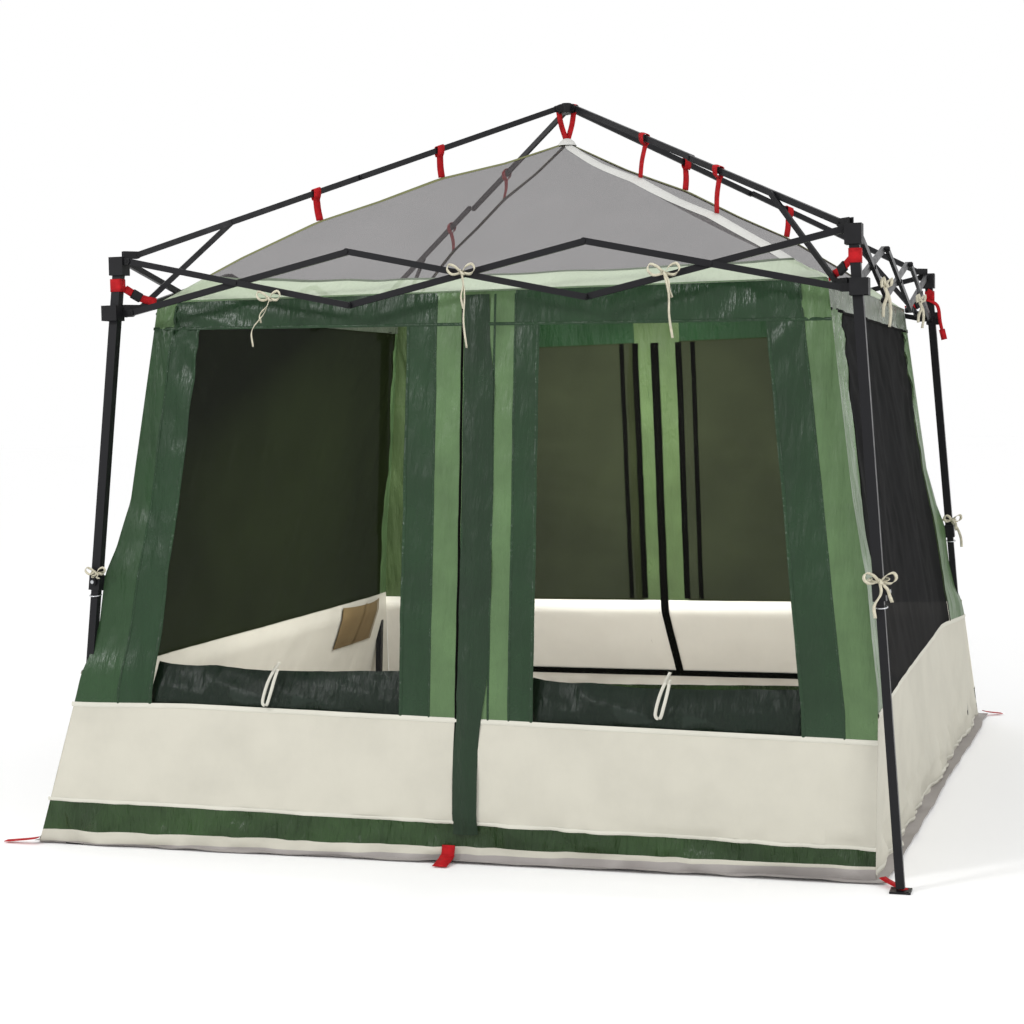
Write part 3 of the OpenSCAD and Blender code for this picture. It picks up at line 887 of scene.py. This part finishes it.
def pocket():
    """The brown storage pocket sewn inside the left wall."""
    soup = Soup()
    k = 3
    up = np.linspace(0, 1, 12)[:, None]
    across = np.linspace(0, 1, 24)[None, :]
    s = POCKET_S + POCKET_WIDE * across + 0 * up
    z = POCKET_Z + POCKET_TALL * up - 0.006 * np.sin(np.pi * across) * up
    belly = -0.006 - 0.022 * np.sin(np.pi * across) ** 0.5 * up**0.7
    soup.grid(wall_point(k, s, z, belly), np.stack([s, z], -1), "pocket")
    for t in (0.0, 0.5, 1.0):
        line = np.linspace(0, 1, 12)
        depth = -0.008 - 0.022 * np.sin(np.pi * t) ** 0.5 * line**0.7 - 0.002
        base = POCKET_S + POCKET_WIDE * t
        high = POCKET_Z + POCKET_TALL * line
        strip = [wall_point(k, base + a + 0 * line, high, depth) for a in (-0.006, 0.006)]
        soup.grid(np.stack(strip, 1), np.zeros((12, 2, 2)), "pocket")
    obj = gather(sewn("pocket_left", soup), k)


def ground_sheet():
    """The grey floor, its edge a little wavy, in a front and a back half that each fold to a bracket."""
    count = 90
    u = np.linspace(0, 1, count)[None, :]
    a, b, c, d = (np.array(p) for p in BASE)
    for name, body, start, end in (("front", "bracket_fl", 0.0, 0.44), ("back", "bracket_bl", 0.44, 1.0)):
        v = np.linspace(start, end, count // 2)[:, None]
        flat = (1 - v)[..., None] * ((1 - u)[..., None] * a + u[..., None] * b)
        flat = flat + v[..., None] * ((1 - u)[..., None] * d + u[..., None] * c)
        edge = np.minimum(np.minimum(u, 1 - u), np.minimum(v, 1 - v))
        frayed = smooth(1 - edge / 0.03) * (0.5 + 0.5 * noise(u * 16 + v * 3, v * 15, 71))
        x, y = [flat[..., n] * (1 - 0.012 * frayed) for n in (0, 1)]
        z = 0.003 + 0.004 * (1 + noise(x * 5, y * 5, 72)) * smooth(edge / 0.02)
        z = z + 0.006 * smooth(1 - edge / 0.012) * (1 + noise(x * 12, y * 12, 73))
        soup = Soup()
        soup.grid(np.stack([x, y, z], -1), np.stack([x, y], -1), "floor")
        obj = sewn("floor_" + name, soup)
        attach(obj, body)
        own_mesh(obj)
        if name == "front":
            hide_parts("ground_sheet")


# ---------------------------------------------------------------- straps and ties
STRAP_WIDTH = 0.026
STRAP_THICK = 0.0018
STRAP_LOOP = (  # how a strap goes round its pole, sideways and up from the pole's middle
    (0.004, -0.024), (0.0125, -0.012), (0.0125, 0.0125),
    (-0.0125, 0.0125), (-0.0125, -0.012), (-0.003, -0.026),
)


def taped(name, tapes, paint="red"):
    """A new piece of flat tapes, each (width, line, direction of its width, thickness)."""
    soup = Soup()
    for width, line, across, thickness in tapes:
        tube_strip(soup, line, across, width, thickness, paint)
    return sewn(name, soup)


def on_diagonal(k, r, side=0.0):
    """The point r in from corner k's hinge along its diagonal, and aside of it."""
    sx, sy = SIGNS[k]
    along, across = np.array([-sx, -sy]) / math.sqrt(2), np.array([sy, -sx]) / math.sqrt(2)
    return np.array([sx, sy]) * HALF + along * r + across * side


POLE_Z0, POLE_R0, POLE_RISE = 1.933, 0.060, math.tan(math.radians(19.60))  # a pole's foot and its climb
UPPER_LANE = (0.0108, 0.0108, 0.0108, -0.0196)  # how far beside its diagonal each upper pole lies


def pole_straps():
    """Two red straps on each ridge pole, looped over it and sewn to the roof's hip below."""
    for k, name in enumerate(CORNERS):
        sx, sy = SIGNS[k]
        along = np.array([-sx, -sy, 0]) / math.sqrt(2)
        for n, r in enumerate(STRAP_R):
            lane = 0.0 if n == 0 else UPPER_LANE[k]
            pole_z = POLE_Z0 + (r - POLE_R0) * POLE_RISE
            x, y = on_diagonal(k, r, -lane)
            foot_x, foot_y = on_diagonal(k, r + 0.012)
            foot_z = float(hip_z(k, hip_t(r + 0.012))) + 0.002
            side = np.array([sy, -sx, 0]) / math.sqrt(2)
            top = np.array([x, y, pole_z])
            loop = [top + side * a + np.array([0, 0, b]) for a, b in STRAP_LOOP]
            foot = np.array([foot_x, foot_y, foot_z])
            drop = spline([loop[-1], (loop[-1] + foot) / 2 + side * 0.004, foot], 8)
            route = np.vstack([spline(loop, 18), drop[1:]])
            tapes = [(STRAP_WIDTH, route, along + [0, 0, POLE_RISE], STRAP_THICK)]
            obj = taped(f"strap_{name}_{n + 1}", tapes)
            body = ("pole_lower_" if n == 0 else "pole_upper_") + name
            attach(obj, body)


def hub_straps():
    """The red V that hangs the apex from the hub."""
    for n, sign in enumerate((-1, 1)):
        top = np.array([sign * 0.030, -0.004, HUB_LOW.z + 0.016])
        foot = np.array([sign * 0.004, 0.0, APEX_Z + 0.012])
        aside = np.array([sign * 0.004, 0, 0])
        route = spline([top + aside + [0, 0, 0.016], top, (top + foot) / 2 + aside, foot], 14)
        tapes = [(0.022, route, [1.0, -0.25, 0.3 * sign], STRAP_THICK)]
        obj = taped(f"strap_hub_{n + 1}", tapes)
        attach(obj, "roof_hub")


def rounded_block(name, centre, size, turn, paint):
    """A small moulded part: a block with rounded edges and a waist."""
    made = bmesh.new()
    bmesh.ops.create_cube(made, size=1)
    bmesh.ops.subdivide_edges(made, edges=made.edges[:], cuts=2, use_grid_fill=True)
    for v in made.verts:
        x, y, z = v.co
        v.co = Vector((x * size[0], y * size[1] * (1 - 0.25 * (1 - abs(2 * x))), z * size[2]))
    data = bpy.data.meshes.new(name)
    made.to_mesh(data)
    made.free()
    data.materials.append(MATERIALS[paint])
    for face in data.polygons:
        face.use_smooth = True
    obj = add(name, data)
    obj.matrix_world = Matrix.Translation(centre) @ turn.to_4x4()
    bevel = obj.modifiers.new("edges", "BEVEL")
    bevel.width, bevel.segments = min(size) * 0.2, 2
    return obj


LEG_TOP_Z = 1.895  # where a leg leaves its hinge
LEG_LEAN = math.tan(math.radians(5.84)) / math.sqrt(2)


def leg_centre(k, z):
    """The centre line of leg k, which leans out on the diagonal."""
    sx, sy = SIGNS[k]
    out = HALF + (LEG_TOP_Z - z) * LEG_LEAN
    return sx * out, sy * out


def corner_straps():
    """At each corner a red band round the leg's head, and a buckled strap from it to the roof's corner."""
    for k, name in enumerate(CORNERS):
        sx, sy = SIGNS[k]
        z = 1.832
        cx, cy = leg_centre(k, z)
        half = 0.0175
        ring = [(half, 0), (half, half), (-half, half), (-half, -half), (half, -half), (half, 0.001)]
        route = np.array([(cx + a, cy + b, z) for a, b in ring])
        fine = np.vstack([np.linspace(p, q, 5)[:-1] for p, q in zip(route, route[1:])] + [route[-1:]])
        start = np.array([cx - sx * 0.017, cy - sy * 0.017, z - 0.010])
        end = np.array([sx * (EAVE_HALF + 0.004), sy * (EAVE_HALF + 0.004), EAVE_Z + 0.004])
        middle = (start + end) / 2 - np.array([0, 0, 0.008])
        strap = spline([start, middle, end], 12)
        tail = spline([start, start + [0.014 * sx, -0.012, 0.018], start + [0.022 * sx, -0.020, 0.036]], 8)
        tapes = [
            (0.042, fine, [0, 0, 1.0], 0.0022),
            (STRAP_WIDTH, strap, [0, 0, 1.0], STRAP_THICK),
            (0.02, tail, [0.6, -0.4, 0.4], STRAP_THICK),
        ]
        if name == "br":
            fall = ((0, 0, 0), (0.05, -0.02, -0.03), (0.062, -0.02, -0.10), (0.078, -0.02, -0.17))
            hang = spline([start + step for step in fall], 16)
            tapes.append((0.014, hang, [1.0, 0.2, 0.2], STRAP_THICK))
            tapes.append((0.024, hang[-4:], [1.0, 0.2, 0.2], 0.004))
        obj = taped("strap_corner_" + name, tapes)
        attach(obj, "bracket_" + name)
        along = Vector(strap[5] - strap[2]).normalized()
        side = Vector((0, 0, 1)).cross(along).normalized()
        turn = Matrix((along, side, along.cross(side))).transposed()
        buckle = rounded_block("buckle_" + name, Vector(strap[4]), (0.034, 0.012, 0.032), turn, "plastic")
        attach(buckle, "bracket_" + name)


def ground_tabs():
    """Red webbing tabs at the corners and the middle of the front."""
    front = ((BASE[0][0] + BASE[1][0]) / 2 + 0.04, (BASE[0][1] + BASE[1][1]) / 2)
    tabs = (
        ("fl", BASE[0], (-0.09, -0.0)),
        ("fr", BASE[1], (0.05, -0.045)),
        ("front", front, (0.0, -0.045)),
        ("br", BASE[2], (0.05, 0.03)),
        ("bl", BASE[3], (-0.05, 0.03)),
    )
    for name, at, reach in tabs:
        direction = np.array([*reach, 0.0])
        length = np.linalg.norm(direction)
        across = np.array([-direction[1], direction[0], 0]) / length
        start = np.array([at[0], at[1], 0.010]) - direction / length * 0.03
        tip = np.array([at[0], at[1], 0.006]) + direction
        wide = 0.046 if name == "front" else 0.024
        route = spline([start + [0, 0, 0.012], start + [0, 0, 0.006] + direction * 0.4, tip], 12)
        tapes = [(wide, route, across, 0.003)]
        if name == "front":
            up = np.array([0, 0.012, 0.042])
            rise = spline([start + [0, 0.0, 0.010], start + up * 0.6, start + up], 8)
            tapes.append((0.042, rise, [1.0, 0, 0], 0.003))
        obj = taped("tab_" + name, tapes)
        if name == "front":
            gather(obj, 0)
        else:
            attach(obj, "bracket_" + name)


TIE_WIDTH = 0.0105


def tie(name, at, facing, tails, body, size=1.0, wrap=None):
    """A cotton tape tied in a bow: two loops, a knot and two tails, facing outward.
    Tails are (sideways, down) to the tip of each, wrap is how wide, tall and deep it goes round a leg."""
    at, facing = np.array(at, float), np.array(facing, float)
    facing /= np.linalg.norm(facing)
    side = np.cross([0, 0, 1.0], facing)
    up = np.array([0, 0, 1.0])
    tapes = []

    def tape(count, *points):
        """A length of the tape through points that are (sideways, up, out) from the knot."""
        steps = [side * a * size + up * b * size + facing * c * size for a, b, c in points]
        route = spline([at + step for step in steps], count)
        tapes.append((TIE_WIDTH, route, facing * 0.6 + up * 0.5 + side * 0.55, 0.0016))

    for sign in (-1, 1):
        out = [(0, 0, 0.004), (sign * 0.016, 0.018, 0.010), (sign * 0.034, 0.024, 0.012)]
        back = [(sign * 0.040, 0.010, 0.010), (sign * 0.026, -0.003, 0.006), (0.001 * sign, 0.001, 0.002)]
        tape(20, *out, *back)
    for n, (across, down) in enumerate(tails):
        upper = (across * 0.35 + 0.006, -down * 0.3, 0.012)
        lower = (across * 0.9 - 0.004, -down * 0.65, 0.010 + 0.004 * n)
        tape(20, (0, 0, 0.003), upper, lower, (across, -down, 0.006))
    for turn in range(2):
        start, end = (-0.006, 0.004 - 0.006 * turn, 0), (0.006, -0.006 + 0.004 * turn, 0)
        tape(8, start, (-0.002, 0.006, 0.010), (0.004, -0.002, 0.011), end)
    if wrap:
        wide, tall, deep = wrap
        there = [(0, 0, 0.002), (wide, tall * 0.5, -0.002), (wide, tall, -deep)]
        tape(26, *there, (-wide, tall, -deep), (-wide, tall * 0.4, -0.002), (0, 0, 0.001))
    obj = taped(name, tapes, "cotton")
    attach(obj, body)


def ties():
    """The cotton ties that hold the walls to the trusses and the legs."""
    front = -(HALF + 0.020)
    for n, x, z, tails, bar, size in (
        (1, -0.652, 1.768, ((-0.030, 0.075), (-0.060, 0.15)), 2, 1.0),
        (2, 0.000, 1.826, ((0.004, 0.10), (0.012, 0.21)), 4, 1.1),
        (3, 0.640, 1.800, ((0.020, 0.06), (0.020, 0.16)), 5, 1.2),
    ):
        tie(f"tie_front_{n}", (x, front, z), (0, -1, 0), tails, f"bar_front_{bar}", size)
    for k, z, tails, size in (
        (0, 0.888, ((-0.010, 0.018), (0.012, 0.022)), 0.8),
        (1, 0.888, ((-0.012, 0.09), (0.030, 0.05)), 1.15),
        (2, 0.900, ((0.020, 0.04), (0.045, 0.11)), 1.0),
    ):
        x, y = leg_centre(k, z)
        facing = np.array([0.25, -1.0, 0]) if k < 2 else np.array([0.6, -0.8, 0])
        start = np.array([x, y, z]) + facing / np.linalg.norm(facing) * 0.019
        wrap = (0.021, 0.006, 0.036)
        tie("tie_leg_" + CORNERS[k], start, facing, tails, "leg_outer_" + CORNERS[k], size, wrap)
    x = HALF + 0.020
    tie("tie_right_1", (x, -0.62, 1.775), (1, -0.3, 0), ((-0.02, 0.10), (0.03, 0.13)), "bar_right_2")
    tie("tie_right_2", (x, 0.55, 1.78), (1, -0.3, 0), ((-0.02, 0.08), (0.02, 0.10)), "bar_right_5")


def leg_rings():
    """The zinc ring that hangs below each leg's collar."""
    for k, name in enumerate(CORNERS):
        x, y = leg_centre(k, 0.80)
        bpy.ops.mesh.primitive_torus_add(
            major_radius=0.019, minor_radius=0.0022, major_segments=36, minor_segments=10
        )
        obj = bpy.context.object
        obj.name = obj.data.name = "ring_" + name
        obj.data.materials.append(MATERIALS["metal"])
        for face in obj.data.polygons:
            face.use_smooth = True
        obj.matrix_world = Matrix.Translation((x, y, 0.815)) @ Matrix.Rotation(math.radians(8), 4, "X")
        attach(obj, "leg_outer_" + name)


# ---------------------------------------------------------------- the frame's finish
def finish_frame():
    """Powder coat on the steel, moulded plastic on the brackets, sliders and hub, zinc on the buttons."""
    for name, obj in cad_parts.items():
        if name.startswith("leg_button"):
            finish = "metal"
        elif name.startswith(("bracket", "slider", "roof_hub")):
            finish = "plastic"
        else:
            finish = "steel"
        obj.data.materials.clear()
        obj.data.materials.append(MATERIALS[finish])


# ---------------------------------------------------------------- light and floor
def studio():
    """Plain soft light on a plain pale floor."""
    scene = bpy.context.scene
    scene.view_settings.view_transform = "Standard"
    world = bpy.data.worlds.new("studio")
    world.use_nodes = True
    world.node_tree.nodes["Background"].inputs["Color"].default_value = (1, 1, 1, 1)
    world.node_tree.nodes["Background"].inputs["Strength"].default_value = 1.0
    scene.world = world
    aim = Vector((0, 0, 1.0))
    for name, place, size, power in (
        ("key", (-3.5, -6.0, 5.0), 1.0, 135),
        ("fill", (5.5, -4.5, 3.5), 2.0, 60),
        ("inside", (0, -0.1, EAVE_Z - 0.15), 1.2, 80),
    ):
        light = bpy.data.lights.new(name, "AREA")
        light.shape, light.size, light.energy = "SQUARE", size, power
        obj = add(name, light)
        obj.location = place
        if name == "inside":  # daylight on the inner walls, turned a little to the back, unseen itself
            obj.rotation_euler = (math.radians(20), 0, 0)
            obj.visible_camera = obj.visible_glossy = False
        else:
            obj.rotation_euler = (aim - Vector(place)).to_track_quat("-Z", "Y").to_euler()
    floor = Soup()
    reach = 60.0
    corners = np.array([[(x, y, 0) for x in (-reach, reach)] for y in (-reach, reach)])
    floor.grid(corners, corners[..., :2], "studio_floor")
    surface = Shader("studio_floor", Roughness=0.9, Specular_IOR_Level=0.1)
    surface.shader.inputs["Base Color"].default_value = (1, 1, 1, 1)
    MATERIALS["studio_floor"] = surface.material
    add("studio_floor", floor.mesh("studio_floor"))


finish_frame()
roof()
sew_cover()
curtains()
flaps()
zips()
pocket()
ground_sheet()
pole_straps()
hub_straps()
corner_straps()
ground_tabs()
ties()
leg_rings()
studio()
